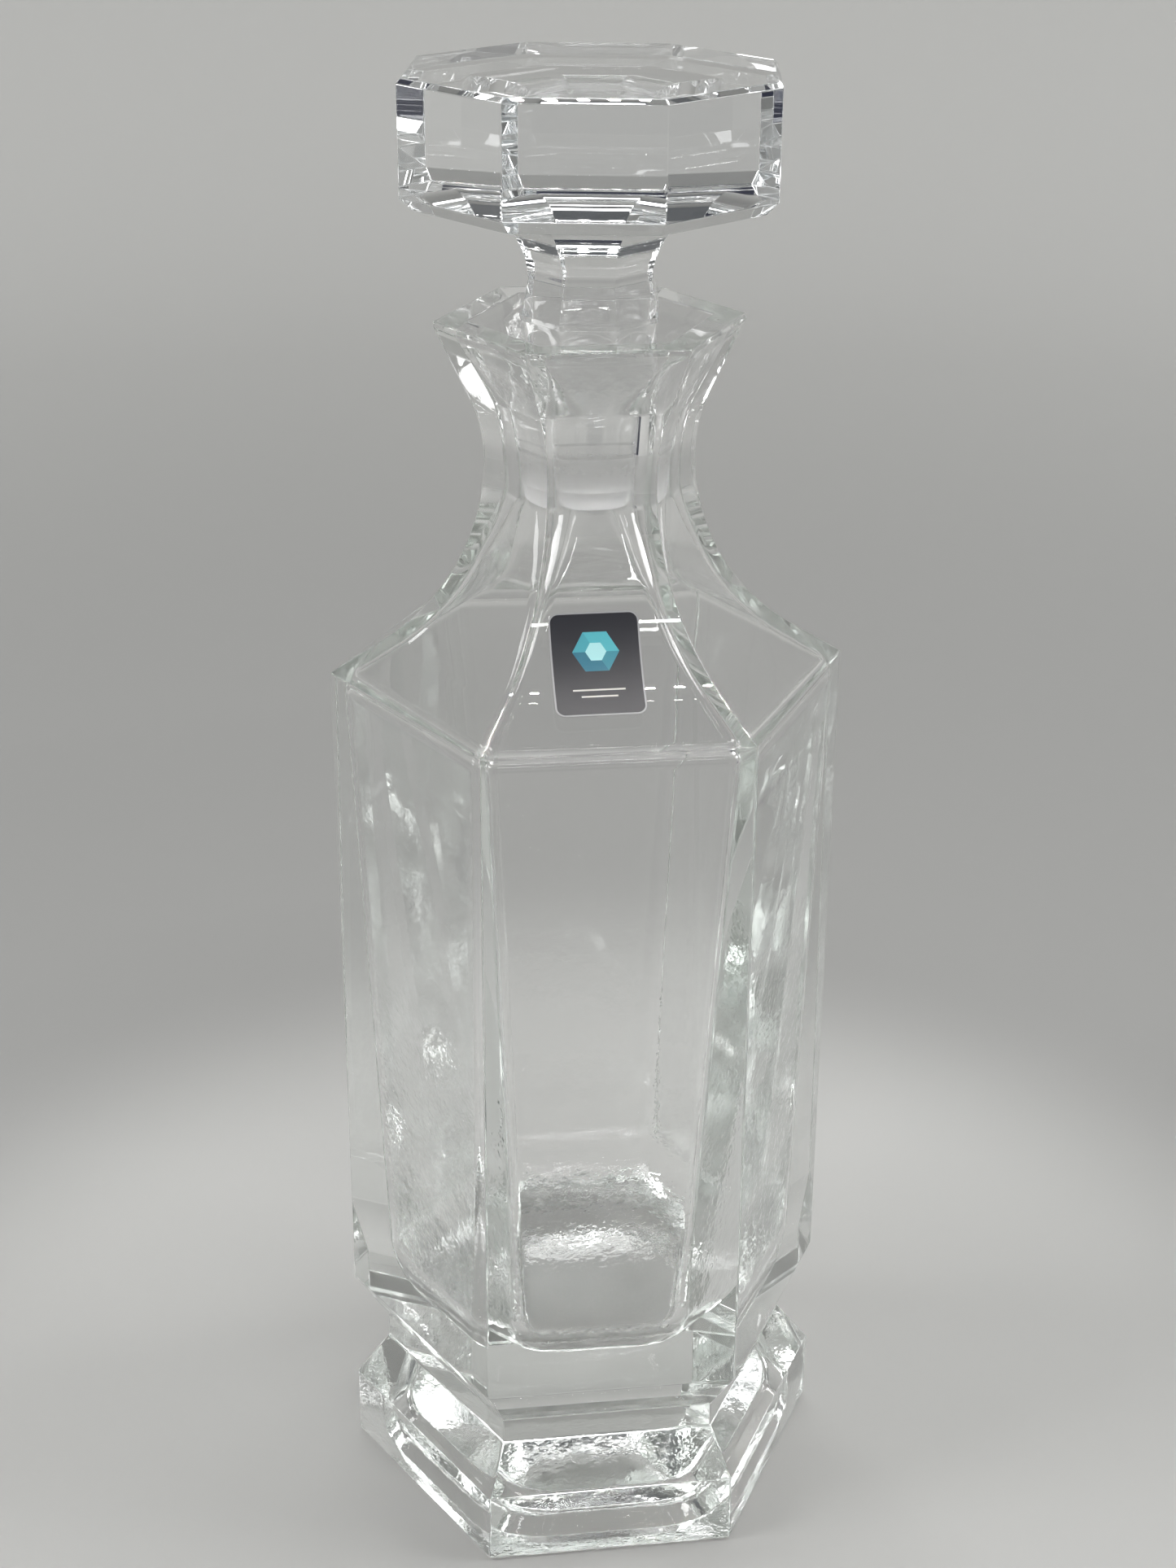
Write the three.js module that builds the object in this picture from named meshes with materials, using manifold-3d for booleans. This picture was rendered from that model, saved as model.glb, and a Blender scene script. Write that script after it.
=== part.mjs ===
// Cut crystal decanter: a six-sided bottle, its eight-sided stopper and a foil label.
// Millimetres, +Z up. The origin is the centre of the foot's underside, and the face that
// carries the label looks along -Y.
import * as THREE from 'three';
import { mergeVertices } from 'three/addons/utils/BufferGeometryUtils.js';
import Module from 'manifold-3d';

// Driving dimensions. Radii of faceted shapes are measured to their corners.
const GAP = 0.3;                 // clearance between pieces that touch
const SIDES = 6;                 // facets of the bottle
const STOPPER_SIDES = 8;         // facets of the stopper
const STOPPER_TURN = -9.6;       // degrees that the stopper is turned in the neck

const FOOT_RADIUS = 49;
const FOOT_HEIGHT = 16;
const WAIST_RADIUS = 42;
const WAIST_LOW = 25;
const WAIST_HIGH = 30.5;
const BODY_LOW = 41;
const BODY_LOW_RADIUS = 48.8;
const SHOULDER = 177.8;
const SHOULDER_RADIUS = 48.1;
const NECK = 218;
const NECK_RADIUS = 19.2;
const LIP = 243;
const LIP_RADIUS = 27.7;
const LIP_BAND = 1;              // upright edge of the lip
const OVERALL_HEIGHT = 285;

const SHOULDER_SWEEP = 40;       // radius of the concave arc from the shoulder to the neck
const SHOULDER_PITCH = 32;       // degrees that the shoulder rises from the level
const LIP_SWEEP = 27.3;          // radius of the concave arc from the neck to the lip
const LIP_LEAN = 25.5;           // degrees that the lip leans out

const NECK_WALL = 4.6;
const CAVITY_FLOOR = 41;
const CAVITY_LOW_RADIUS = 31.5;
const CAVITY_CORNER = 12;        // radius between the cavity's floor and its walls
const CAVITY_TOP = 175.2;
const CAVITY_TOP_RADIUS = 43.5;
const CAVITY_THROAT = 209.5;
const CAVITY_THROAT_RADIUS = 12.9;
const THROAT_START = 26;         // degrees of the shoulder's arc, from the neck, left to the flare
const CAVITY_CORNER_KEEP = 0.98; // share of the cavity's corner radius that stays
const RECESS_CORNER_KEEP = 0.94; // the same for the recess, whose corners are rounder

const BORE_LOW = 206;
const BORE_LOW_RADIUS = 11.0;
const BORE_TOP = 230;
const BORE_TOP_RADIUS = 12.1;
const MOUTH_LOW = 229;
const MOUTH_LOW_RADIUS = 13.4;
const MOUTH_RADIUS = 21.8;

const RECESS_RADIUS = 37.6;
const RECESS_TOP_RADIUS = 33;
const RECESS_DEPTH = 4.3;

const HEAD_RADIUS = 34.2;
const HEAD_UNDERSIDE = 263.5;
const HEAD_BEVEL_TOP = 0.8;
const HEAD_BEVEL_LOW = 2.2;
const STEM_RADIUS = 11.6;
const STEM_NARROWEST = 250.5;
const STEM_FILLET = 13;
const COLLAR_RADIUS = 12.9;
const COLLAR = 243.8;
const COLLAR_LIP = 0.4;          // height of the collar's sloping lower edge
const SHANK_LOW = 239.5;         // where the facets run out below the collar
const SHANK_RADIUS = 12.3;
const PLUG_TIP = 211;
const PLUG_TIP_RADIUS = 9.6;
const PLUG_BEVEL_TOP = 214.8;
const PLUG_LOW_RADIUS = 10.95;
const PLUG_TOP = 226;
const PLUG_TOP_RADIUS = 11.6;

const LABEL_WIDTH = 16;
const LABEL_CORNER = 1.8;
const LABEL_THICKNESS = 0.35;
const LABEL_LOW = 182.2;
const LABEL_TOP = 196.6;
const LABEL_OFFSET = -2.2;       // the label sits a little left of the facet's middle

const ROUND_SEGMENTS = 48;
const ARC_STEPS = 8;
const CORNER_STEPS = 5;
const PAST_SURFACE = 2;          // how far a cutting shape runs past the surface it opens

const wasm = await Module();
wasm.setup();

const radians = THREE.MathUtils.degToRad;

// ---- solids ----

function toSolid(geometry) {
  geometry.deleteAttribute('normal');
  geometry.deleteAttribute('uv');
  const merged = mergeVertices(geometry, 1e-3);
  const corners = merged.index.array;
  const triangles = [];
  for (let i = 0; i < corners.length; i += 3) {
    const [a, b, c] = corners.slice(i, i + 3);
    if (a !== b && b !== c && c !== a) {
      triangles.push(a, b, c);
    }
  }
  return new wasm.Manifold(new wasm.Mesh({
    numProp: 3,
    vertProperties: new Float32Array(merged.attributes.position.array),
    triVerts: new Uint32Array(triangles),
  }));
}

function toGeometry(solid) {
  const { vertProperties, triVerts } = solid.getMesh();
  const geometry = new THREE.BufferGeometry();
  geometry.setAttribute('position', new THREE.BufferAttribute(vertProperties, 3));
  geometry.setIndex(new THREE.BufferAttribute(triVerts, 1));
  const faceted = geometry.toNonIndexed();
  faceted.computeVertexNormals();
  return faceted;
}

// Turns a profile of [radius, height] points about Z, with a flat side towards -Y.
function spin(profile, sides) {
  const points = profile.map(([radius, height]) => new THREE.Vector2(radius, height));
  const geometry = new THREE.LatheGeometry(points, sides, Math.PI / sides);
  geometry.rotateX(Math.PI / 2);
  return toSolid(geometry);
}

// Points of an arc in the profile plane, with angles in degrees from the +radius direction.
function arc([centreRadius, centreHeight], radius, from, to, steps = ARC_STEPS) {
  const points = [];
  for (let step = 0; step <= steps; step += 1) {
    const angle = radians(from + ((to - from) * step) / steps);
    points.push([centreRadius + radius * Math.cos(angle), centreHeight + radius * Math.sin(angle)]);
  }
  return points;
}

// ---- profiles ----

const SHOULDER_CENTRE = [NECK_RADIUS + SHOULDER_SWEEP, NECK];
const SHOULDER_END = 180 + 90 - SHOULDER_PITCH;

// The outside of the bottle from the shoulder edge up to the lip, grown outwards by offset.
function sweptNeck(offset = 0) {
  const pitch = radians(SHOULDER_PITCH);
  const edge = [SHOULDER_RADIUS + offset * Math.sin(pitch), SHOULDER + offset * Math.cos(pitch)];
  const shoulderArc = arc(SHOULDER_CENTRE, SHOULDER_SWEEP - offset, SHOULDER_END, 180, 2 * ARC_STEPS);
  const lipArc = arc([NECK_RADIUS + LIP_SWEEP, NECK], LIP_SWEEP - offset, 180, 180 - LIP_LEAN);
  return [edge, ...shoulderArc, ...lipArc.slice(1)];
}

const outsideProfile = [
  [0, 0],
  [FOOT_RADIUS, 0],
  [FOOT_RADIUS, FOOT_HEIGHT],
  [WAIST_RADIUS, WAIST_LOW],
  [WAIST_RADIUS, WAIST_HIGH],
  [BODY_LOW_RADIUS, BODY_LOW],
  ...sweptNeck(),
  [LIP_RADIUS, LIP - LIP_BAND],
  [LIP_RADIUS, LIP],
  [0, LIP],
];

const cavityProfile = [
  [0, CAVITY_FLOOR],
  ...arc([CAVITY_LOW_RADIUS - CAVITY_CORNER, CAVITY_FLOOR + CAVITY_CORNER], CAVITY_CORNER, -90, 0),
  [CAVITY_TOP_RADIUS, CAVITY_TOP],
  ...arc(SHOULDER_CENTRE, SHOULDER_SWEEP + NECK_WALL, SHOULDER_END, 180 + THROAT_START),
  [CAVITY_THROAT_RADIUS, CAVITY_THROAT],
  [0, CAVITY_THROAT],
];

const boreProfile = [
  [0, BORE_LOW],
  [BORE_LOW_RADIUS, BORE_LOW],
  [BORE_TOP_RADIUS, BORE_TOP],
  [0, BORE_TOP],
];

const mouthSlope = (MOUTH_RADIUS - MOUTH_LOW_RADIUS) / (LIP - MOUTH_LOW);
const mouthProfile = [
  [0, MOUTH_LOW],
  [MOUTH_LOW_RADIUS, MOUTH_LOW],
  [MOUTH_RADIUS + mouthSlope * PAST_SURFACE, LIP + PAST_SURFACE],
  [0, LIP + PAST_SURFACE],
];

const recessProfile = [
  [0, -PAST_SURFACE],
  [RECESS_RADIUS, -PAST_SURFACE],
  [RECESS_RADIUS, 0],
  [RECESS_TOP_RADIUS, RECESS_DEPTH],
  [0, RECESS_DEPTH],
];

// The stopper's faceted part: collar, waisted stem and head.
const facetProfile = [
  [0, COLLAR - COLLAR_LIP],
  [SHANK_RADIUS, COLLAR - COLLAR_LIP],
  [COLLAR_RADIUS, COLLAR],
  ...arc([STEM_RADIUS + STEM_FILLET, STEM_NARROWEST], STEM_FILLET, 180, 90, 2 * ARC_STEPS),
  [HEAD_RADIUS - HEAD_BEVEL_LOW, HEAD_UNDERSIDE],
  [HEAD_RADIUS, HEAD_UNDERSIDE + HEAD_BEVEL_LOW],
  [HEAD_RADIUS, OVERALL_HEIGHT - HEAD_BEVEL_TOP],
  [HEAD_RADIUS - HEAD_BEVEL_TOP, OVERALL_HEIGHT],
  [0, OVERALL_HEIGHT],
];

// The round plug flares into the collar, where the facets are cut into it.
const plugProfile = [
  [0, PLUG_TIP],
  [PLUG_TIP_RADIUS, PLUG_TIP],
  [PLUG_LOW_RADIUS, PLUG_BEVEL_TOP],
  [PLUG_TOP_RADIUS, PLUG_TOP],
  [PLUG_TOP_RADIUS, SHANK_LOW],
  [SHANK_RADIUS, COLLAR],
  [0, COLLAR],
];
const shankProfile = [
  [0, PLUG_TIP],
  [SHANK_RADIUS, PLUG_TIP],
  [SHANK_RADIUS, COLLAR],
  [0, COLLAR],
];

// ---- pieces ----

// A six-sided hollow whose corners are rounded off by a cone just inside them.
function softHollow(profile, keep) {
  const rounded = profile.map(([radius, height]) => [radius * keep, height]);
  return spin(profile, SIDES).intersect(spin(rounded, ROUND_SEGMENTS));
}

function makeDecanter() {
  const cavity = softHollow(cavityProfile, CAVITY_CORNER_KEEP);
  const recess = softHollow(recessProfile, RECESS_CORNER_KEEP);
  const hollow = cavity.add(spin(boreProfile, ROUND_SEGMENTS)).add(spin(mouthProfile, SIDES));
  return spin(outsideProfile, SIDES).subtract(hollow).subtract(recess);
}

function makeStopper() {
  const plug = spin(plugProfile, ROUND_SEGMENTS).intersect(spin(shankProfile, STOPPER_SIDES));
  return spin(facetProfile, STOPPER_SIDES).add(plug);
}

// A foil sticker bent over the shoulder facet: a thin shell cut to a rounded rectangle.
function makeLabel() {
  const grown = (offset) => {
    const skin = sweptNeck(offset / Math.cos(Math.PI / SIDES));
    return spin([[0, skin[0][1]], ...skin, [0, skin.at(-1)[1]]], SIDES);
  };
  const halfWidth = LABEL_WIDTH / 2;
  const straight = halfWidth - LABEL_CORNER;
  const low = LABEL_LOW + LABEL_CORNER;
  const top = LABEL_TOP - LABEL_CORNER;
  const outline = new THREE.Shape();
  outline.absarc(straight, low, LABEL_CORNER, -Math.PI / 2, 0);
  outline.absarc(straight, top, LABEL_CORNER, 0, Math.PI / 2);
  outline.absarc(-straight, top, LABEL_CORNER, Math.PI / 2, Math.PI);
  outline.absarc(-straight, low, LABEL_CORNER, Math.PI, Math.PI * 1.5);
  outline.closePath();
  const cutter = new THREE.ExtrudeGeometry(outline, {
    depth: FOOT_RADIUS,
    bevelEnabled: false,
    curveSegments: CORNER_STEPS,
  });
  cutter.rotateX(Math.PI / 2);
  cutter.translate(LABEL_OFFSET, 0, 0);
  return grown(GAP + LABEL_THICKNESS).subtract(grown(GAP)).intersect(toSolid(cutter));
}

function makeMesh(name, solid, finish) {
  const mesh = new THREE.Mesh(toGeometry(solid), new THREE.MeshStandardMaterial(finish));
  mesh.name = name;
  return mesh;
}

const crystal = { color: 0xdfe6e2, roughness: 0.02, metalness: 0, transparent: true, opacity: 0.4 };
const foil = { color: 0x1b1d2b, roughness: 0.35, metalness: 0.1 };

const decanter = new THREE.Group();
decanter.add(makeMesh('decanter', makeDecanter(), crystal));
decanter.add(makeMesh('label', makeLabel(), foil));
const stopper = makeMesh('stopper', makeStopper(), crystal);
stopper.rotation.z = radians(STOPPER_TURN);
decanter.add(stopper);

export default decanter;
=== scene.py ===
# %% [markdown]
# # A cut crystal decanter
# This lesson builds a six-sided glass decanter with an eight-sided stopper. Clear glass has almost no colour
# of its own, so nearly everything that the eye reads comes from its shape: where two faces meet, how thick
# the wall is, and what the glass bends into view. That is why every wall below has a real inside and a real
# outside, and why each cut edge gets a tiny rounding that can catch the light.
#
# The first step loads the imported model. It gives the bodies that move and the true size of every part, and
# each new piece takes its place from them.

import math

import bmesh
import bpy
from mathutils import Matrix, Vector, noise


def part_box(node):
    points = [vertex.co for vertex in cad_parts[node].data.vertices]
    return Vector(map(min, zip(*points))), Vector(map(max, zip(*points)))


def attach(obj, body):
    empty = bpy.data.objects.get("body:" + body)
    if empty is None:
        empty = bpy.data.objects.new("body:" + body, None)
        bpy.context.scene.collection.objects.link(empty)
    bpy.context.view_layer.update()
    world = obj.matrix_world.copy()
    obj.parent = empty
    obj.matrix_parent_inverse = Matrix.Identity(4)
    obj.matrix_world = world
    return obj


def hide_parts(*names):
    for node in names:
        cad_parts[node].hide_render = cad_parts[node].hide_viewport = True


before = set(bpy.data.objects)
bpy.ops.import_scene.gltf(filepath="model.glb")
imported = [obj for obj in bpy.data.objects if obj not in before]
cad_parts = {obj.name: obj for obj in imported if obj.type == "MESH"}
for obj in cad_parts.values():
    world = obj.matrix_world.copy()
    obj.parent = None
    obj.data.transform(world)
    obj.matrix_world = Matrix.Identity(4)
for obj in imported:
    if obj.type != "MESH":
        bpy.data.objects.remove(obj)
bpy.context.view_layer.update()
MM = 0.001

# %% [markdown]
# The frame says how big each part is. The bottle's foot has its corners on the X axis, so half the box's
# width is the foot's corner radius. The other sizes are the glassmaker's drawing: heights above the table and
# radii to the corners, in millimetres. A six-sided shape is written with its *corner* radius here, and turned
# into the distance to its flat side when a ring is laid out.

# %% The bottle's drawing
bottle_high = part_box("decanter")[1]
foot_radius = bottle_high.x / MM
lip_height = bottle_high.z / MM
print(f"foot corner radius {foot_radius:.1f} mm, lip at {lip_height:.1f} mm")

foot_height = 16.0
waist_radius, waist_low, waist_high = 42.0, 25.0, 30.5
body_low, body_low_radius = 41.0, 48.8
shoulder, shoulder_radius = 177.8, 48.1
neck, neck_radius = 218.0, 19.2
lip_radius, lip_band, rim_inner_radius = 27.7, 1.0, 21.8
shoulder_sweep, shoulder_pitch = 40.0, 32.0
lip_sweep, lip_lean = 27.3, 25.5

# %% [markdown]
# ## One ring, pushed along a profile
# A bottle like this is a ring that travels up the outside, over the lip and down the inside. In the editor
# you would extrude a loop, scale it, extrude it again, and so on. The same is done here: a circle is made
# once with `create_circle`, `extrude_edge_only` copies its edges, and the copied vertices are moved to the
# next *station* of the profile. A spin with six steps would give flat sides too, but then the corners could
# not change from sharp cuts outside to soft, melted ones inside, and on to the round bore.
#
# A station is a small record: the height, the distance to the flat sides, how round the corners are, and what
# the surface is like there.

# %% Stations and sections
def station(height, radius, corner=0.016, sides=6, ground=0.0, chill=0.0, wave=0.0, facet=None,
            drift=0.0, turn=0.0):
    """One ring of the profile: corner is the corner rounding as a share of the flat distance."""
    flat = radius * math.cos(math.pi / sides)
    return dict(height=height, flat=flat, corner=corner, sides=sides, ground=ground, chill=chill,
                wave=wave, facet=facet, drift=drift, turn=turn)


def tangent_angle(corner, sides):
    """The angle from the middle of a side at which its flat ends and the corner's rounding starts."""
    return math.atan((1 - corner) * math.tan(math.pi / sides))


def polygon_reach(angle, flat, corner, sides):
    """How far a polygon with rounded corners reaches at an angle from the middle of its side."""
    if abs(angle) <= tangent_angle(corner, sides):
        return flat / math.cos(angle)
    half = math.pi / sides
    rounding = corner * flat
    centre = (flat - rounding) / math.cos(half)
    off = half - abs(angle)
    return centre * math.cos(off) + math.sqrt(max(rounding ** 2 - (centre * math.sin(off)) ** 2, 0))


# %% [markdown]
# The vertices of a ring are not spread evenly. Four of them crowd into each end of a side, because the
# rounding of a cut edge is less than a millimetre wide, and the rest share the flat. When the rounding grows,
# the crowd spreads out with it, until on a round ring all vertices are evenly spaced.
#
# Molten glass leaves ripples, which come from a noise. The noise starts at a random place unless it is given a
# seed, so the seed is set once here, and every run makes the same ripples.

# %% Where a ring's vertices go
IN_CORNER = 4
WAVE_SCALE = 0.16
FINE_WAVE, FINE_WAVE_SCALE = 0.4, 2.7
RIPPLE_SEED = 1
noise.seed_set(RIPPLE_SEED)


def side_angles(corner, sides, per_side):
    """Angles from the middle of one side, in order, for the vertices of that side."""
    half = math.pi / sides
    flats = per_side - 2 * IN_CORNER
    end = max(tangent_angle(corner, sides), half * (1 - 2 * IN_CORNER / per_side))
    middle = [end * (2 * i / (flats - 1) - 1) for i in range(flats)]
    bend = [end + (half - end) * (i + 0.5) / IN_CORNER for i in range(IN_CORNER)]
    return [-angle for angle in reversed(bend)] + middle + bend


def ring_points(place, per_side):
    """The places of a ring's vertices, in metres, starting on the side that faces the viewer."""
    sides = place["sides"]
    points = []
    for side in range(sides):
        for off in side_angles(place["corner"], sides, per_side):
            reach = polygon_reach(off, place["flat"], place["corner"], sides)
            if place["facet"] is not None:
                reach = min(reach, place["facet"] / math.cos(off))
            turn = -math.pi / 2 + 2 * math.pi * side / sides + off + place["turn"]
            point = Vector((reach * math.cos(turn), reach * math.sin(turn), place["height"]))
            if place["wave"]:
                swell = noise.noise_vector(point * WAVE_SCALE)
                swell += FINE_WAVE * noise.noise_vector(point * WAVE_SCALE * FINE_WAVE_SCALE)
                point += place["wave"] * swell
            point.x += place["drift"]
            points.append(point * MM)
    return points


# %% [markdown]
# A bmesh is only a drawing board. To appear in the scene its result is copied into a mesh, and an object
# shows that mesh. The object stays at the origin, unrotated and unscaled, so its place is in its vertices.

# %% From bmesh to object
def new_object(name, bm):
    """Turns a bmesh into an object of the scene, and frees the bmesh."""
    mesh = bpy.data.meshes.new(name)
    bm.to_mesh(mesh)
    bm.free()
    made = bpy.data.objects.new(name, mesh)
    bpy.context.scene.collection.objects.link(made)
    return made


# %% [markdown]
# The loft itself. An integer layer on the vertices remembers each vertex's column, and `extrude_edge_only`
# copies it to the new vertices, so every new vertex knows where it belongs. Two float layers are for the
# material to read: `ground` holds how matt the glass is, and `chill` how rippled its skin is. At the end the
# first and the last ring are merged into a point, so the skin is closed, and its normals are recalculated
# once, because a profile that runs up the outside and down the inside is easily turned inside out.

# %% Extruding a ring along its stations
def loft(name, stations, per_side):
    """Pushes one ring through all the stations and closes both ends."""
    bm = bmesh.new()
    column = bm.verts.layers.int.new("column")
    marks = {mark: bm.verts.layers.float.new(mark) for mark in ("ground", "chill")}
    count = per_side * stations[0]["sides"]
    made = bmesh.ops.create_circle(bm, segments=count, radius=1.0)
    first = sorted(made["verts"], key=lambda v: v.index)
    for i, vert in enumerate(first):
        vert[column] = i
    ring = list(bm.edges)
    verts = first
    for number, place in enumerate(stations):
        if number:
            grown = bmesh.ops.extrude_edge_only(bm, edges=ring)["geom"]
            ring = [g for g in grown if isinstance(g, bmesh.types.BMEdge)]
            verts = [g for g in grown if isinstance(g, bmesh.types.BMVert)]
        points = ring_points(place, per_side)
        for vert in verts:
            vert.co = points[vert[column]]
            for mark, layer in marks.items():
                vert[layer] = place[mark]
    for end, place in ((first, stations[0]), (verts, stations[-1])):
        bmesh.ops.pointmerge(bm, verts=end, merge_co=Vector((0, 0, place["height"] * MM)))
    bmesh.ops.recalc_face_normals(bm, faces=bm.faces)
    for face in bm.faces:
        face.smooth = True
    piece = new_object(name, bm)
    print(f"{name}: {len(stations)} rings of {count}, {len(piece.data.polygons)} faces")
    return piece


# %% [markdown]
# ## Profile helpers
# A profile is written as a few corner points, as on a drawing. `polished` walks along them and replaces each
# corner that has a rounding by a short arc, which is what the polishing wheel or the acid bath does to a cut
# edge. `sweep` lays points along one of the two concave arcs of the neck.

# %% Arcs and polished corners
def sweep(centre, radius, start, end, steps):
    """Points [radius, height] along an arc of the profile, with angles in degrees."""
    angles = [math.radians(start + (end - start) * i / steps) for i in range(steps + 1)]
    return [(centre[0] + radius * math.cos(a), centre[1] + radius * math.sin(a)) for a in angles]


def polished(points, steps=4):
    """Rounds the corners of a profile given as (radius, height, rounding)."""
    out = []
    for i, (radius, height, rounding) in enumerate(points):
        here = Vector((radius, height))
        if not rounding or i in (0, len(points) - 1):
            out.append((radius, height))
            continue
        before = (Vector(points[i - 1][:2]) - here).normalized()
        after = (Vector(points[i + 1][:2]) - here).normalized()
        half = before.angle(after) / 2
        back = rounding / math.tan(half)
        middle = here + (before + after).normalized() * (rounding / math.sin(half))
        start, end = here + before * back - middle, here + after * back - middle
        turn = start.angle_signed(end)
        for step in range(steps + 1):
            spoke = start.copy()
            spoke.rotate(Matrix.Rotation(-turn * step / steps, 2))
            out.append(tuple(middle + spoke))
    return out


# %% [markdown]
# ## The outside of the bottle
# From the recess under the foot, over the standing ring, up the foot, the waist, the body, the shoulder and
# the neck, to the lip. The foot, the waist and the body meet in cut corners with a polish of about a
# millimetre. The shoulder and the neck are arcs, so they need no rounding of their own. The foot was pressed,
# not cut, so it has a little of the chilled skin that the cavity has.

# %% Outside profile
recess_radius, recess_top_radius, recess_depth = 37.6, 33.0, 4.3
recess_corner = 0.42
recess_wave = 0.07
edge_polish, soft_polish = 0.7, 1.2
pressed = 0.35
mouth_edge = 1.2

shoulder_centre = (neck_radius + shoulder_sweep, neck)
lip_centre = (neck_radius + lip_sweep, neck)
shoulder_arc = sweep(shoulder_centre, shoulder_sweep, 270 - shoulder_pitch, 180, 26)
lip_arc = sweep(lip_centre, lip_sweep, 180, 180 - lip_lean, 12)

recess = polished([
    (0.5, recess_depth + 1.0, 0),
    (recess_top_radius - 10, recess_depth + 0.5, 0),
    (recess_top_radius, recess_depth, 4.0),
    (recess_radius, 0, 0.8),
    (recess_radius + 2, 0, 0),
], 8)
outside = polished([
    (foot_radius - 6, 0, 0),
    (foot_radius, 0, 0.9),
    (foot_radius, foot_height, edge_polish),
    (waist_radius, waist_low, soft_polish),
    (waist_radius, waist_high, soft_polish),
    (body_low_radius, body_low, 0.9),
    (shoulder_radius, shoulder, edge_polish),
    *[(r, h, 0) for r, h in shoulder_arc],
    *[(r, h, 0) for r, h in lip_arc[1:]],
    (lip_radius, lip_height - lip_band, 0.25),
    (lip_radius, lip_height, 0.35),
    (rim_inner_radius, lip_height, 0.6),
    (rim_inner_radius - mouth_edge, lip_height - 2, 0),
])
outside_stations = []
for radius, height in recess:
    wave = recess_wave * min(1.0, height / recess_depth)
    outside_stations.append(station(height, radius, recess_corner, chill=pressed, wave=wave))
for radius, height in outside:
    outside_stations.append(station(height, radius, chill=pressed if height < foot_height else 0.0))
print(len(outside_stations), "outside rings")

# %% [markdown]
# ## The inside of the bottle
# The mouth is a shallow six-sided funnel. Below it comes the round bore, ground with the stopper so that the
# two fit, then the neck opens into the cavity. The cavity was pressed by a plunger: its six corners are soft,
# it narrows towards the floor, so the wall grows from four to fifteen millimetres, and its skin carries fine
# chill ripples near the bottom, where the hot glass first touched cold metal.

# %% Inside profile
bore_top, bore_low, ground_top = 230.0, 212.0, 221.6
bore_top_radius, bore_low_radius = 12.1, 11.27
cavity_floor, cavity_low_radius, cavity_rounding = 41.0, 31.5, 12.0
cavity_top, cavity_top_radius = 175.2, 43.5
shoulder_rounding = 3.2
shoulder_drop, shoulder_draft = 9.0, 0.8
cavity_turn = math.radians(-1.5)
inner_corner = 0.08
neck_wall = 4.6
round_to_corner = 1 / math.cos(math.pi / 6)

inside_stations = []
mouth_steps, mouth_wave, mouth_chill = 14, 0.12, 0.6
mouth_start = lip_height - 2
for i in range(1, mouth_steps + 1):
    t = i / mouth_steps
    flat_start = (rim_inner_radius - mouth_edge) / round_to_corner
    flat = flat_start + (bore_top_radius - flat_start) * (1 - (1 - t) ** 1.3)
    height = mouth_start + (bore_top - mouth_start) * t
    corner = 0.03 + 0.97 * t ** 2
    swell = math.sin(math.pi * t)
    inside_stations.append(station(height, flat * round_to_corner, corner, chill=mouth_chill * swell,
                                   wave=mouth_wave * swell))

bore_middle = (ground_top + bore_low) / 2
for height, matt in ((ground_top + 0.2, 0.0), (ground_top, 1.0), (bore_middle, 1.0), (bore_low, 1.0)):
    t = (bore_top - height) / (bore_top - bore_low)
    radius = bore_top_radius + (bore_low_radius - bore_top_radius) * t
    inside_stations.append(station(height, radius * round_to_corner, 1.0, ground=matt))

# %% [markdown]
# A plunger is never set quite square in its mould. Here the cavity is turned by a degree and a half against
# the outside and leans a little to one side. It matters more than it sounds: seen at a glancing angle, a wall
# changes from clear to mirror within a degree or two.

# %% Throat, cavity walls and floor
throat_start = 26
throat_arc = sweep(shoulder_centre, shoulder_sweep + neck_wall, 180 + throat_start, 270 - shoulder_pitch, 18)
flare_steps = 10
join_radius, join_height = throat_arc[0]
flare_start = bore_low_radius * round_to_corner
for i in range(1, flare_steps):
    t = i / flare_steps
    radius = flare_start + (join_radius - flare_start) * t ** 1.35
    height = bore_low + (join_height - bore_low) * t
    inside_stations.append(station(height, radius, 1.0 + (0.2 - 1.0) * t ** 0.6, turn=cavity_turn * t))
wall_low = cavity_floor + cavity_rounding
top_drift, low_drift = 0.5, -0.7
throat = polished([
    *[(r, h, 0) for r, h in throat_arc],
    (cavity_top_radius, cavity_top, shoulder_rounding),
    (cavity_top_radius - shoulder_draft, cavity_top - shoulder_drop, 0),
], 8)
for i, (radius, height) in enumerate(throat):
    corner = max(inner_corner, 0.2 - 0.01 * i)
    drift = top_drift * i / len(throat)
    inside_stations.append(station(height, radius, corner, drift=drift, turn=cavity_turn))

wall_steps, wall_wave = 60, 0.018
wall_top = throat[-1][1]
for i in range(1, wall_steps + 1):
    t = i / wall_steps
    height = wall_top + (wall_low - wall_top) * t
    down = (cavity_top - height) / (cavity_top - cavity_floor)
    radius = cavity_top_radius + (cavity_low_radius - cavity_top_radius) * down
    chill = max(0.0, (down - 0.3) / 0.7) ** 1.2
    corner = inner_corner + 0.03 * down + 0.12 * max(0.0, down - 0.75) / 0.25
    drift = top_drift + (low_drift - top_drift) * down
    inside_stations.append(station(height, radius, corner, chill=chill, wave=wall_wave * chill, drift=drift,
                                   turn=cavity_turn))

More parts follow.
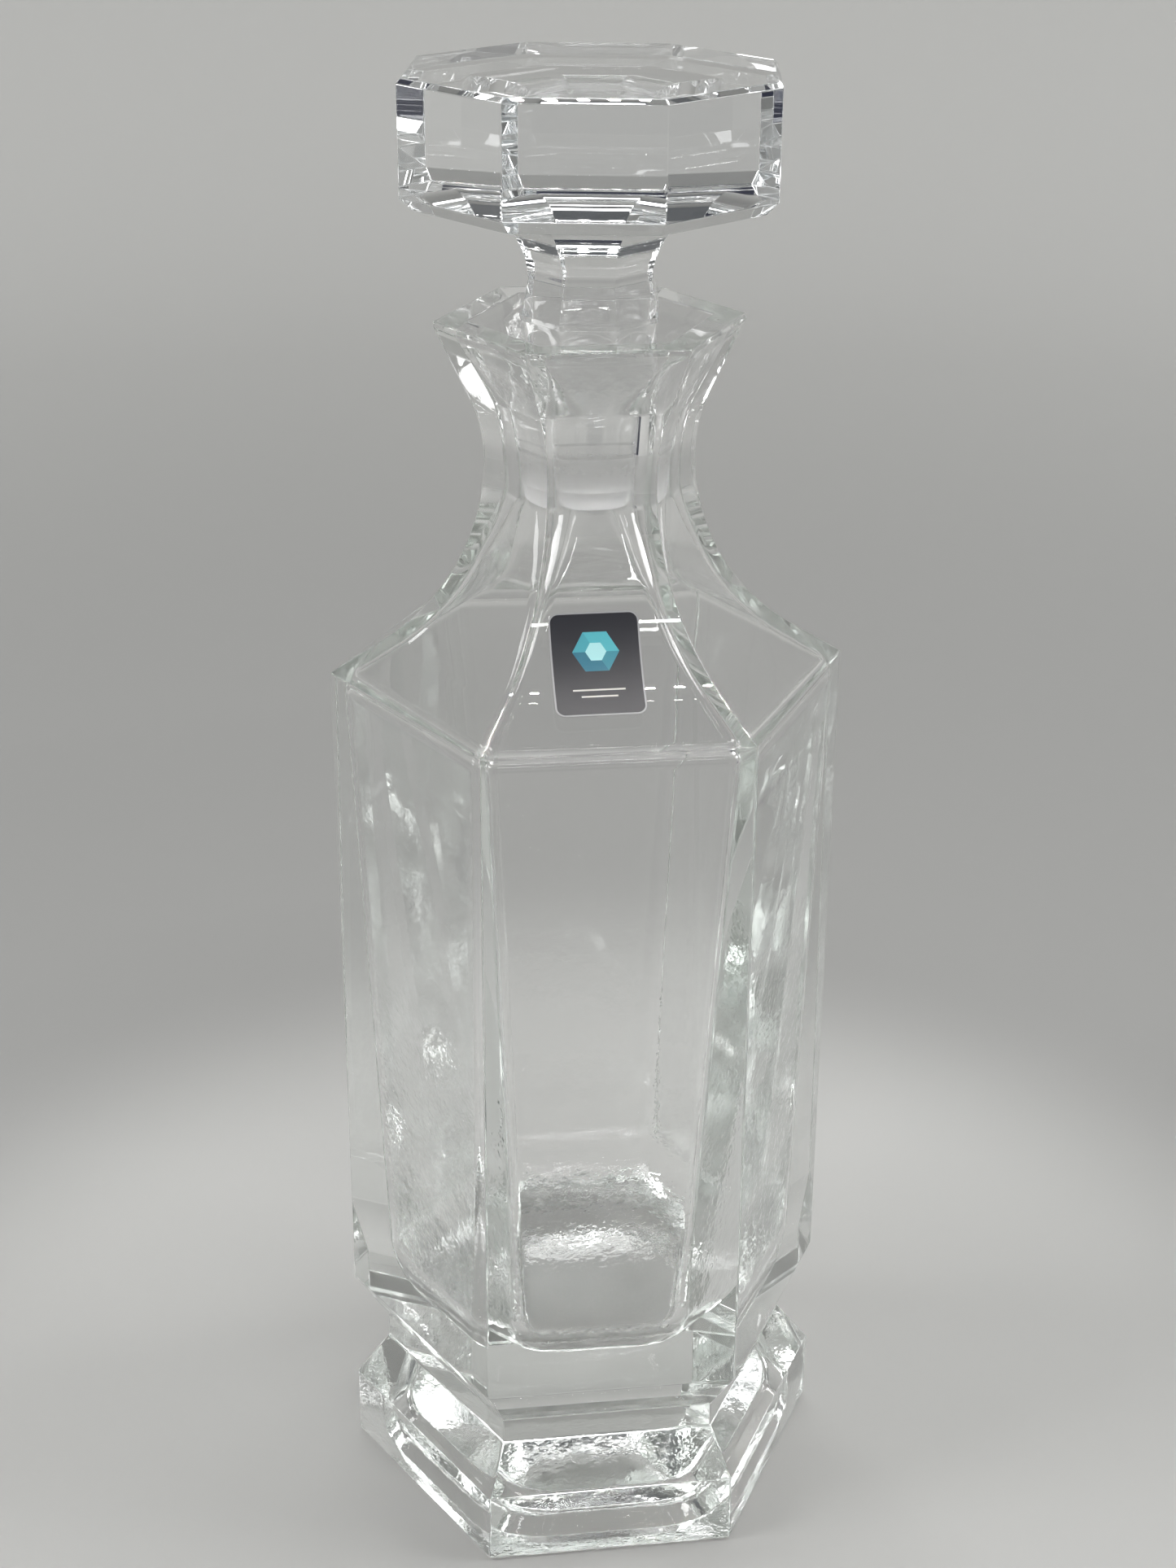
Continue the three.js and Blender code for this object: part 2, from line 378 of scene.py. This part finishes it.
low_radius = inside_stations[-1]["flat"] * round_to_corner
arc_steps = 16
floor_arc = sweep((low_radius - cavity_rounding, wall_low), cavity_rounding, 0, -86, arc_steps)
for i, (radius, height) in enumerate(floor_arc[1:]):
    t = (i + 1) / arc_steps
    inside_stations.append(station(height, radius, 0.2 + 0.3 * t, chill=1.0, wave=0.06, drift=low_drift,
                                   turn=cavity_turn))
floor_steps = 20
floor_radius, floor_height = floor_arc[-1]
for i in range(1, floor_steps + 1):
    t = i / floor_steps
    radius = floor_radius * (1 - t) + 0.5 * t
    height = floor_height - 0.6 * t
    inside_stations.append(station(height, radius, 0.5 + 0.5 * t, chill=1.0, wave=0.08 * (1 - t),
                                   drift=low_drift * (1 - t ** 4), turn=cavity_turn))
print(len(inside_stations), "inside rings")

# %% [markdown]
# ## The glass
# Lead crystal bends light a little more than window glass, so its index of refraction is about 1.54. The
# green-grey tint comes from a *Volume Absorption* shader, which darkens light by the length of its path: thin
# walls stay clear and thick corners go grey-green, as in the real thing. Tinting the surface instead would
# make every wall equally green. The ground bore and plug are the same glass with a rough skin, so roughness
# reads the `ground` layer that the loft stored.

# %% A math node in one line
def maths(tree, operation, *values):
    """Adds a math node, links or sets its inputs in order, and returns its output."""
    node = tree.nodes.new("ShaderNodeMath")
    node.operation = operation
    for socket, value in zip(node.inputs, values):
        if isinstance(value, bpy.types.NodeSocket):
            tree.links.new(value, socket)
        else:
            socket.default_value = value
    return node.outputs[0]


# %% [markdown]
# The skin has three textures, from coarse to fine. Long shallow waves run over all of it, as they do on any
# polished glass. Ripples of three millimetres and grain of one millimetre belong to the chilled skin, so they
# are multiplied by the `chill` layer. All three are heights in millimetres for one *Bump* node. The scales
# are waves per metre.

# %% Crystal material
LONG_WAVES, RIPPLES, FINE_GRAIN = 45, 300, 1000
RIPPLE_HEIGHT, GRAIN_HEIGHT = 0.16, 0.06


def crystal(name, tint, density, waviness):
    """Clear glass; waviness is the height of the long waves in millimetres."""
    material = bpy.data.materials.new(name)
    material.use_nodes = True
    tree = material.node_tree
    nodes, links = tree.nodes, tree.links
    shader = nodes["Principled BSDF"]
    shader.inputs["Base Color"].default_value = (1, 1, 1, 1)
    shader.inputs["IOR"].default_value = 1.54
    shader.inputs["Transmission Weight"].default_value = 1.0
    place = nodes.new("ShaderNodeTexCoord")

    def grain(scale, detail):
        texture = nodes.new("ShaderNodeTexNoise")
        texture.inputs["Scale"].default_value = scale
        texture.inputs["Detail"].default_value = detail
        links.new(place.outputs["Object"], texture.inputs["Vector"])
        return texture.outputs["Fac"]

    def mark(layer):
        attribute = nodes.new("ShaderNodeAttribute")
        attribute.attribute_name = layer
        return attribute.outputs["Fac"]

    matt = maths(tree, "MULTIPLY_ADD", grain(900, 3), 0.14, 0.14)
    links.new(maths(tree, "MULTIPLY", matt, mark("ground")), shader.inputs["Roughness"])
    waves = maths(tree, "MULTIPLY", grain(LONG_WAVES, 1), waviness)
    fine = maths(tree, "MULTIPLY", grain(FINE_GRAIN, 2), GRAIN_HEIGHT)
    skin = maths(tree, "MULTIPLY_ADD", grain(RIPPLES, 2), RIPPLE_HEIGHT, fine)
    pitted = maths(tree, "MULTIPLY", skin, mark("chill"))
    bump = nodes.new("ShaderNodeBump")
    bump.inputs["Strength"].default_value = 1.0
    bump.inputs["Distance"].default_value = MM
    links.new(maths(tree, "ADD", waves, pitted), bump.inputs["Height"])
    links.new(bump.outputs["Normal"], shader.inputs["Normal"])
    absorb = nodes.new("ShaderNodeVolumeAbsorption")
    absorb.inputs["Color"].default_value = (*tint, 1)
    absorb.inputs["Density"].default_value = density
    links.new(absorb.outputs["Volume"], nodes["Material Output"].inputs["Volume"])
    return material


# %% [markdown]
# Smooth shading averages the normals of the faces around a vertex, which would make a flat side look curved
# near its edges. A *Weighted Normal* modifier lets the widest face decide, so the flats stay flat and all the
# bending happens in the narrow polished strip, as on the real cut edge.

# %% Steady shading and the two glasses
def steady_normals(piece):
    """Lets the wide flat faces decide the shading, so the narrow polished edges don't bend it."""
    weighted = piece.modifiers.new("Weighted normals", "WEIGHTED_NORMAL")
    weighted.mode = "FACE_AREA"
    weighted.keep_sharp = True


bottle_glass = crystal("bottle_crystal", (0.83, 0.86, 0.838), 7.0, 0.02)
stopper_glass = crystal("stopper_crystal", (0.85, 0.87, 0.88), 5.0, 0.01)
print("glasses:", bottle_glass.name, stopper_glass.name)

# %% [markdown]
# Now the outside and the inside are one long list of stations, and the bottle is a single loft through it.

# %% Make the bottle
bottle = loft("crystal_bottle", outside_stations + inside_stations, 34)
bottle.data.materials.append(bottle_glass)
steady_normals(bottle)
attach(bottle, "bottle")
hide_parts("decanter")

# %% [markdown]
# ## The stopper
# The stopper is a solid piece with eight sides. Its plug is round, because it has to turn and seat in the
# bore. Just under the collar the eight facets are cut into the round plug and run out in small arches, which
# a ring gives when its reach is limited by the facet's plane.

# %% Stopper profile
stopper_low, stopper_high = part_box("stopper")
stopper_top = stopper_high.z / MM
plug_tip = stopper_low.z / MM
bevel_height, plug_matt, bevel_matt = 3.8, 1.0, 1.8
head_radius, head_underside = 34.2, 263.5
head_low_bevel, head_top_bevel = 2.2, 0.9
stem_radius, stem_narrowest, stem_fillet = 11.6, 250.5, 13.0
ripple_depth, ripple_period = 0.04, 1.9
collar_radius, collar = 12.9, 243.8
shank_radius, shank_low = 12.6, 239.5
stopper_turn = math.radians(-9.6)
to_corner = 1 / math.cos(math.pi / 8)
facet_flat = shank_radius * math.cos(math.pi / 8)

plug = polished([
    (0.4, plug_tip + 0.05, 0),
    (9.6, plug_tip, 0.5),
    (10.95, plug_tip + bevel_height, 0.4),
    (11.65, ground_top - 0.1, 0.05),
    (11.5, ground_top + 0.6, 0.3),
    (11.6, shank_low, 2.0),
    (shank_radius, collar - 0.45, 0),
])
stopper_stations = []
for radius, height in plug:
    matt = 0.0
    if height <= ground_top:
        matt = plug_matt if height > plug_tip + bevel_height + 0.4 else bevel_matt
    stopper_stations.append(station(height, radius * to_corner, 1.0, 8, matt, facet=facet_flat))
print(len(stopper_stations), "plug rings")

# %% [markdown]
# Above the collar the stopper is cut, so its rings are octagons. The stem carries faint rings from the
# cutting wheel, a few hundredths of a millimetre deep. They are in the profile, because their reflections are
# what one sees of the stem.

# %% Stem and head
stem_arc = sweep((stem_radius + stem_fillet, stem_narrowest), stem_fillet, 180, 92, 60)
turns = 2 * math.pi / ripple_period
stem_arc = [(radius + ripple_depth * math.sin(turns * height), height) for radius, height in stem_arc]
cut = polished([
    (shank_radius, collar - 0.45, 0),
    (collar_radius, collar - 0.45, 0.12),
    (collar_radius, collar + 0.5, 0.3),
    *[(r, h, 0) for r, h in stem_arc],
    (head_radius - head_low_bevel, head_underside, 0.6),
    (head_radius, head_underside + head_low_bevel, 0.5),
    (head_radius, stopper_top - head_top_bevel, 0.4),
    (head_radius - head_top_bevel, stopper_top, 0.4),
    (0.4, stopper_top, 0),
])
for radius, height in cut[1:]:
    stopper_stations.append(station(height, radius, sides=8))

# %% [markdown]
# The stopper was left a little turned in the bottle, so its mesh is turned before it is placed.

# %% Make the stopper
stopper = loft("crystal_stopper", stopper_stations, 26)
stopper.data.transform(Matrix.Rotation(stopper_turn, 4, "Z"))
stopper.data.materials.append(stopper_glass)
steady_normals(stopper)
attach(stopper, "stopper")
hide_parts("stopper")

# %% [markdown]
# ## The foil label
# A small foil sticker follows the curve of the shoulder facet. It starts as a flat rounded rectangle, is
# sliced across with `bisect_plane` so that it can bend, and its vertices are then laid on the facet's arc.
# The flat coordinates are kept as a UV map, so the print stays square however the foil bends.

# %% Where the label lies
label_low, label_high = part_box("label")
label_width = (label_high.x - label_low.x) / MM
label_middle = (label_high.x + label_low.x) / 2 / MM
label_corner = 1.8
low_inset, high_inset = 0.1, 0.25
facet_share = math.cos(math.pi / 6)


def shoulder_run(steps=80):
    """Points (distance to the facet, height) from the shoulder edge upwards, with the length so far."""
    line = [(shoulder_radius, shoulder)]
    line += sweep(shoulder_centre, shoulder_sweep, 270 - shoulder_pitch, 200, steps)
    run, length, last = [], 0.0, None
    for radius, height in line:
        here = Vector((radius * facet_share, height))
        length += (here - last).length if last is not None else 0.0
        run.append((length, here))
        last = here
    return run


def on_shoulder(run, along, out):
    """The point at a length along the facet, lifted off the glass by out."""
    for (a, p), (b, q) in zip(run, run[1:]):
        if along <= b:
            t = (along - a) / (b - a)
            slope = (q - p).normalized()
            return p.lerp(q, t) + Vector((-slope.y, slope.x)) * -out
    return run[-1][1]


def along_at(run, height):
    """The length along the facet at which it reaches a height."""
    for (a, p), (b, q) in zip(run, run[1:]):
        if height <= q.y:
            return a + (b - a) * (height - p.y) / (q.y - p.y)
    return run[-1][0]


run = shoulder_run()
low_along = along_at(run, label_low.z / MM + low_inset)
label_length = along_at(run, label_high.z / MM - high_inset) - low_along
print(f"label {label_width:.1f} x {label_length:.1f} mm")

# %% [markdown]
# The foil is a grid of one face with its four vertices bevelled. Slicing it into strips lets it bend, and the
# extrusion gives it its thickness before the bend, so its edge stays square to the glass.

# %% Make the label
label_strips, label_lift, label_thick = 28, 0.03, 0.12
bm = bmesh.new()
made = bmesh.ops.create_grid(bm, x_segments=1, y_segments=1, size=0.5)
bmesh.ops.scale(bm, verts=made["verts"], vec=(label_width, label_length, 1))
bmesh.ops.bevel(bm, geom=list(bm.verts), affect="VERTICES", offset=label_corner, segments=6,
                profile=0.5, material=-1)
for i in range(1, label_strips):
    cut_at = label_length * (i / label_strips - 0.5)
    geometry = list(bm.verts) + list(bm.edges) + list(bm.faces)
    bmesh.ops.bisect_plane(bm, geom=geometry, plane_co=(0, cut_at, 0), plane_no=(0, 1, 0))
print_map = bm.loops.layers.uv.new("print")
for face in bm.faces:
    for loop in face.loops:
        loop[print_map].uv = (loop.vert.co.x / label_width + 0.5, loop.vert.co.y / label_length + 0.5)
foil = bmesh.ops.extrude_face_region(bm, geom=list(bm.faces))["geom"]
raised = [part for part in foil if isinstance(part, bmesh.types.BMVert)]
bmesh.ops.translate(bm, verts=raised, vec=(0, 0, label_thick))
for vert in bm.verts:
    across, along, lift = vert.co
    reach, height = on_shoulder(run, low_along + label_length / 2 + along, label_lift + lift)
    vert.co = Vector((label_middle + across, -reach, height)) * MM
bmesh.ops.recalc_face_normals(bm, faces=bm.faces)
print(len(bm.faces), "faces in the label")
label = new_object("foil_label", bm)

# %% [markdown]
# The print is worked out from the UV map in the material: a dark ground, a thin silver border, a faceted
# hexagon as an emblem and two plain rule lines below it. Each of them is a *mask*, a value that is 1 inside
# the shape and 0 outside. The UV map is first turned back into millimetres from the label's middle.

# %% Label coordinates
foil_print = bpy.data.materials.new("foil_print")
foil_print.use_nodes = True
nodes, links = foil_print.node_tree.nodes, foil_print.node_tree.links


def label_maths(operation, *values):
    """A math node of the label's material."""
    return maths(foil_print.node_tree, operation, *values)


def painted(base, mask, colour):
    """Lays a colour over the colour so far where the mask is 1."""
    node = nodes.new("ShaderNodeMix")
    node.data_type = "RGBA"
    links.new(mask, node.inputs["Factor"])
    for socket, value in ((node.inputs[6], base), (node.inputs[7], colour)):
        if isinstance(value, bpy.types.NodeSocket):
            links.new(value, socket)
        else:
            socket.default_value = value
    return node.outputs[2]


flat_map = nodes.new("ShaderNodeUVMap")
flat_map.uv_map = "print"
axes = nodes.new("ShaderNodeSeparateXYZ")
links.new(flat_map.outputs["UV"], axes.inputs[0])
across = label_maths("MULTIPLY", label_maths("SUBTRACT", axes.outputs["X"], 0.5), label_width)
along = label_maths("MULTIPLY", label_maths("SUBTRACT", axes.outputs["Y"], 0.5), label_length)

# %% [markdown]
# The border keeps the same distance from the edge all round, also in the corners. It is found from how far a
# point lies past the centre of the nearest corner's rounding.

# %% Border mask
border_width = 0.3
past_across = label_maths("SUBTRACT", label_maths("ABSOLUTE", across), label_width / 2 - label_corner)
past_along = label_maths("SUBTRACT", label_maths("ABSOLUTE", along), label_length / 2 - label_corner)
past = [label_maths("POWER", label_maths("MAXIMUM", value, 0.0), 2.0) for value in (past_across, past_along)]
edge_reach = label_maths("SQRT", label_maths("ADD", past[0], past[1]))
border = label_maths("GREATER_THAN", edge_reach, label_corner - border_width)

# %% [markdown]
# A hexagon is where the largest of three reaches, measured square to its sides, stays below its size. The
# sign of each reach tells on which side of the middle a point lies, and that gives the emblem its facets.

# %% Emblem mask
emblem_up, emblem_size, table_share = 2.6, 3.6, 0.45
lifted = label_maths("SUBTRACT", along, emblem_up)
reaches = []
for turn in (90, 30, -30):
    sideways = label_maths("MULTIPLY", across, math.cos(math.radians(turn)))
    upwards = label_maths("MULTIPLY", lifted, math.sin(math.radians(turn)))
    reaches.append(label_maths("ADD", sideways, upwards))
sides_away = [label_maths("ABSOLUTE", reach) for reach in reaches]
hexagon_reach = label_maths("MAXIMUM", label_maths("MAXIMUM", sides_away[0], sides_away[1]), sides_away[2])
emblem = label_maths("LESS_THAN", hexagon_reach, emblem_size)
table = label_maths("LESS_THAN", hexagon_reach, emblem_size * table_share)
facets = [label_maths("GREATER_THAN", reach, 0.0) for reach in reaches]
crown_tone = label_maths("MULTIPLY_ADD", facets[0], 0.5, label_maths("MULTIPLY", facets[1], 0.25))

# %% [markdown]
# Two plain rule lines stand below the emblem, the lower one shorter.

# %% Rule lines
def rule_mask(height, half_length, half_width=0.16):
    """A horizontal line at a height on the label."""
    off_line = label_maths("ABSOLUTE", label_maths("SUBTRACT", along, height))
    near = label_maths("LESS_THAN", off_line, half_width)
    inside = label_maths("LESS_THAN", label_maths("ABSOLUTE", across), half_length)
    return label_maths("MULTIPLY", near, inside)


rules = label_maths("MAXIMUM", rule_mask(-4.6, 4.6), rule_mask(-5.9, 3.2))

# %% [markdown]
# The colours are laid over each other in the order of printing: ground, emblem, table, rules, border. The
# foil's ground isn't quite even, so a fine noise varies its tone, its roughness and its surface.

# %% Label colours
speckle = nodes.new("ShaderNodeTexNoise")
speckle.inputs["Scale"].default_value = 900
links.new(flat_map.outputs["UV"], speckle.inputs["Vector"])
ground_colour = painted((0.006, 0.007, 0.013, 1), label_maths("MULTIPLY", speckle.outputs["Fac"], 0.6),
                        (0.014, 0.015, 0.024, 1))
crown = nodes.new("ShaderNodeValToRGB")
crown.color_ramp.elements[0].color = (0.01, 0.16, 0.24, 1)
crown.color_ramp.elements[1].color = (0.10, 0.55, 0.62, 1)
links.new(crown_tone, crown.inputs["Fac"])
printed = painted(ground_colour, emblem, crown.outputs["Color"])
printed = painted(printed, table, (0.42, 0.78, 0.80, 1))
printed = painted(printed, rules, (0.62, 0.60, 0.56, 1))
printed = painted(printed, border, (0.36, 0.36, 0.37, 1))
shader = nodes["Principled BSDF"]
links.new(printed, shader.inputs["Base Color"])
links.new(label_maths("MULTIPLY_ADD", speckle.outputs["Fac"], 0.2, 0.3), shader.inputs["Roughness"])
shader.inputs["Specular IOR Level"].default_value = 0.25
foil_dent = nodes.new("ShaderNodeBump")
foil_dent.inputs["Strength"].default_value = 0.25
foil_dent.inputs["Distance"].default_value = 0.1 * MM
links.new(speckle.outputs["Fac"], foil_dent.inputs["Height"])
links.new(foil_dent.outputs["Normal"], shader.inputs["Normal"])
label.data.materials.append(foil_print)
print("label print:", len(nodes), "nodes")
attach(label, "bottle")
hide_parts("label")

# %% [markdown]
# ## The studio
# Glass shows what surrounds it, so the surroundings are part of the lesson. A round sweep of pale paper, flat
# under the object and curving up into a wall all round, gives a calm grey from every side.

# %% Helpers for the studio
def stage_object(name, bm):
    """Turns a bmesh into an object of the scene, for the studio's pieces."""
    made = new_object(name, bm)
    return made


def plain_material(target, name, colour):
    """Gives an object a matt material and returns its shader."""
    finish = bpy.data.materials.new(name)
    finish.use_nodes = True
    shader = finish.node_tree.nodes["Principled BSDF"]
    shader.inputs["Base Color"].default_value = colour
    shader.inputs["Roughness"].default_value = 0.9
    target.data.materials.append(finish)
    return shader


# %% [markdown]
# The sweep's profile is drawn once, from the middle of the floor to the top of the wall, and spun round. It
# lies a third of a millimetre below the glass, because rays can't tell two surfaces in the same place apart.

# %% Paper sweep
sweep_radius, wall_bend, wall_height, air_gap = 1.5, 0.6, 1.9, 0.0003
floor_reach, bend_steps = sweep_radius - wall_bend, 16
bm = bmesh.new()
profile = [bm.verts.new((0, 0, -air_gap)), bm.verts.new((floor_reach, 0, -air_gap))]
for radius, height in sweep((floor_reach, wall_bend - air_gap), wall_bend, -90, 0, bend_steps)[1:]:
    profile.append(bm.verts.new((radius, 0, height)))
profile.append(bm.verts.new((sweep_radius, 0, wall_height)))
edges = [bm.edges.new(pair) for pair in zip(profile, profile[1:])]
bmesh.ops.spin(bm, geom=profile + edges, axis=(0, 0, 1), cent=(0, 0, 0), angle=2 * math.pi, steps=96,
               use_merge=True)
bmesh.ops.remove_doubles(bm, verts=bm.verts, dist=1e-5)
bmesh.ops.recalc_face_normals(bm, faces=bm.faces)
for face in bm.faces:
    face.smooth = True
print(len(bm.faces), "faces in the paper")
paper = stage_object("paper_sweep", bm)

# %% [markdown]
# Its tone is worked out from the distance to the object, with the light painted into it: a painted pool of
# light under it, a darker ring of painted shade round that, and a wall painted lighter upwards. Soft steps
# keep any edge from showing.

# %% Paper tones with painted light
paper_shader = plain_material(paper, "paper", (0.5, 0.5, 0.5, 1))
paper_tree = paper_shader.id_data
paper_nodes, paper_links = paper_tree.nodes, paper_tree.links


def paper_tone(value, reach, tones):
    """A soft change between two tones as a socket's value goes through a reach."""
    node = paper_nodes.new("ShaderNodeMapRange")
    node.interpolation_type = "SMOOTHERSTEP"
    node.data_type = "FLOAT"
    node.inputs["From Min"].default_value, node.inputs["From Max"].default_value = reach
    node.inputs["To Min"].default_value, node.inputs["To Max"].default_value = tones
    paper_links.new(value, node.inputs["Value"])
    return node.outputs["Result"]


# Painted light: the pool is a painted pool of light under the object, the ring round it is painted shade, and
# the wall's rise in tone with distance is painted light.
painted_pool_reach, painted_pool_tones = (0.13, 0.24), (0.175, 0.0)
painted_wall_light_reach, paper_and_wall_light_tones = (0.3, 1.5), (0.285, 0.58)
paper_place = paper_nodes.new("ShaderNodeTexCoord")
painted_light_distance = paper_nodes.new("ShaderNodeVectorMath")
painted_light_distance.operation = "DISTANCE"
painted_light_distance.inputs[1].default_value = (0, -0.02, 0)
paper_links.new(paper_place.outputs["Object"], painted_light_distance.inputs[0])
painted_light_pool = paper_tone(painted_light_distance.outputs["Value"], painted_pool_reach, painted_pool_tones)
paper_and_painted_wall_light = paper_tone(painted_light_distance.outputs["Value"], painted_wall_light_reach, paper_and_wall_light_tones)
tone = maths(paper_tree, "ADD", painted_light_pool, paper_and_painted_wall_light)
paper_colour = paper_nodes.new("ShaderNodeCombineColor")
for socket, share in zip(paper_colour.inputs, (1.0, 1.0, 0.975)):
    paper_links.new(maths(paper_tree, "MULTIPLY", tone, share), socket)
paper_links.new(paper_colour.outputs["Color"], paper_shader.inputs["Base Color"])

# %% [markdown]
# Two soft lights stand left and right, a wide one behind, and a long narrow strip in front. Where they stand
# is chosen by what the glass mirrors: the front shoulder facet looks straight up, so nothing large hangs
# there and the facet stays clear, while the strip draws one thin white line along each polished edge.

# %% Lights
def area_light(name, place, target, size, power):
    """A soft rectangular light that looks at a target; size in metres, power in watts."""
    data = bpy.data.lights.new(name, "AREA")
    data.shape = "RECTANGLE"
    data.size, data.size_y = size
    data.energy = power
    lamp = bpy.data.objects.new(name, data)
    lamp.location = place
    lamp.rotation_mode = "QUATERNION"
    lamp.rotation_quaternion = (Vector(target) - Vector(place)).to_track_quat("-Z", "Y")
    lamp.visible_camera = False
    bpy.context.scene.collection.objects.link(lamp)
    print(name, "at", place, power, "W")


area_light("left_soft", (-0.95, -0.1, 1.1), (0, 0, 0.05), (0.7, 0.5), 8.4)
area_light("right_soft", (1.0, -0.1, 1.1), (0, 0, 0.05), (0.7, 0.5), 7.8)
area_light("back_soft", (0.1, 0.55, 1.3), (0, 0, 0.1), (0.9, 0.3), 5.6)
area_light("front_strip", (0.18, -1.05, 1.13), (0, 0, 0.2), (1.1, 0.03), 5)

# %% [markdown]
# A ceiling of small bright lamps gives cut glass its sparkle: each facet mirrors the rows as a line of dots.
# The lamps are tiny quads with an emission shader. Diffuse surfaces don't see them, so they add sparkle
# without lighting the paper. Each row is a place along Y and a shift along X, in lamps.

# %% Rows of small lamps
lamp_spacing, lamp_count, lamp_height = 0.022, 36, 1.5
lamp_width, lamp_length = 0.007, 0.016
lamp_rows = ((0.012, 0.0), (-0.05, 0.5), (-0.3, 0.5))
row_middle = 0.16
bm = bmesh.new()
for row_place, shift in lamp_rows:
    for i in range(lamp_count):
        across = row_middle + (i + shift - (lamp_count - 1) / 2) * lamp_spacing
        spot = Matrix.Translation((across, row_place, lamp_height)) @ Matrix.Rotation(math.pi, 4, "X")
        spot = spot @ Matrix.Diagonal((lamp_width, lamp_length, 1, 1))
        bmesh.ops.create_grid(bm, x_segments=1, y_segments=1, size=0.5, matrix=spot)
print(len(bm.faces), "lamps")
lamps = stage_object("lamp_row", bm)
lamps.visible_diffuse = False
lamp_shader = plain_material(lamps, "lamp_glow", (0.8, 0.8, 0.8, 1))
lamp_shader.inputs["Emission Color"].default_value = (1.0, 0.97, 0.94, 1)
lamp_shader.inputs["Emission Strength"].default_value = 1200

# %% [markdown]
# The end strips of the stopper's head look, by total reflection, at what stands in front of the object and at
# its side. One dark card for each direction gives them their deep blue. The cards are hidden from the camera.

# %% Dark cards
card_height = 0.26
cards = (("right", (0.79, -0.165, 0.13), 0.24), ("front", (-0.15, -0.86, 0.14), 0.7))
for side, place, card_width in cards:
    bm = bmesh.new()
    turned = Vector((place[0], place[1], 0)).to_track_quat("Z", "Y").to_matrix().to_4x4()
    upright = Matrix.Translation(place) @ turned @ Matrix.Diagonal((card_width, card_height, 1, 1))
    bmesh.ops.create_grid(bm, x_segments=1, y_segments=1, size=0.5, matrix=upright)
    card = stage_object(f"card_{side}", bm)
    plain_material(card, "card_navy", (0.010, 0.014, 0.045, 1))
    card.visible_camera = False
    card.visible_diffuse = False
    card.visible_shadow = False
    print(card.name, "at", place)

# %% [markdown]
# A faint cool world fills what no lamp reaches.

# %% World
world = bpy.data.worlds.new("studio")
world.use_nodes = True
world.node_tree.nodes["Background"].inputs["Color"].default_value = (0.9, 0.95, 1.0, 1)
world.node_tree.nodes["Background"].inputs["Strength"].default_value = 0.12
bpy.context.scene.world = world
print("world:", world.name)

# %% [markdown]
# The camera stands a little left of the front and looks down by twenty-five degrees, close enough for the
# perspective to widen the shoulders.

# %% Camera
camera_data = bpy.data.cameras.new("camera")
camera_data.lens = 53.3
camera_data.sensor_width = 36
camera = bpy.data.objects.new("camera", camera_data)
bpy.context.scene.collection.objects.link(camera)
camera_turn, camera_tilt, camera_roll = math.radians(-7.43), math.radians(25.4), math.radians(0.34)
camera_away, camera_height = 0.4021, 0.3434
stand = Matrix.Rotation(camera_turn, 4, "Z") @ Matrix.Translation((0, -camera_away, camera_height))
aim = Matrix.Rotation(math.pi / 2 - camera_tilt, 4, "X") @ Matrix.Rotation(camera_roll, 4, "Z")
camera.matrix_world = stand @ aim
bpy.context.scene.camera = camera
print("camera at", tuple(round(value, 3) for value in camera.matrix_world.translation))

# %% [markdown]
# Light can be reflected dozens of times inside the sharp corners of a crystal block. With a low bounce limit
# those corners turn black, so the limits are raised far above the usual twelve.

# %% Render settings that belong to glass
scene = bpy.context.scene
bounces = 48
scene.cycles.max_bounces = bounces
scene.cycles.transmission_bounces = bounces
scene.cycles.glossy_bounces = bounces
scene.cycles.use_denoising = True
scene.cycles.sample_clamp_indirect = 30
scene.view_settings.view_transform = "Standard"
print("light bounces:", bounces)
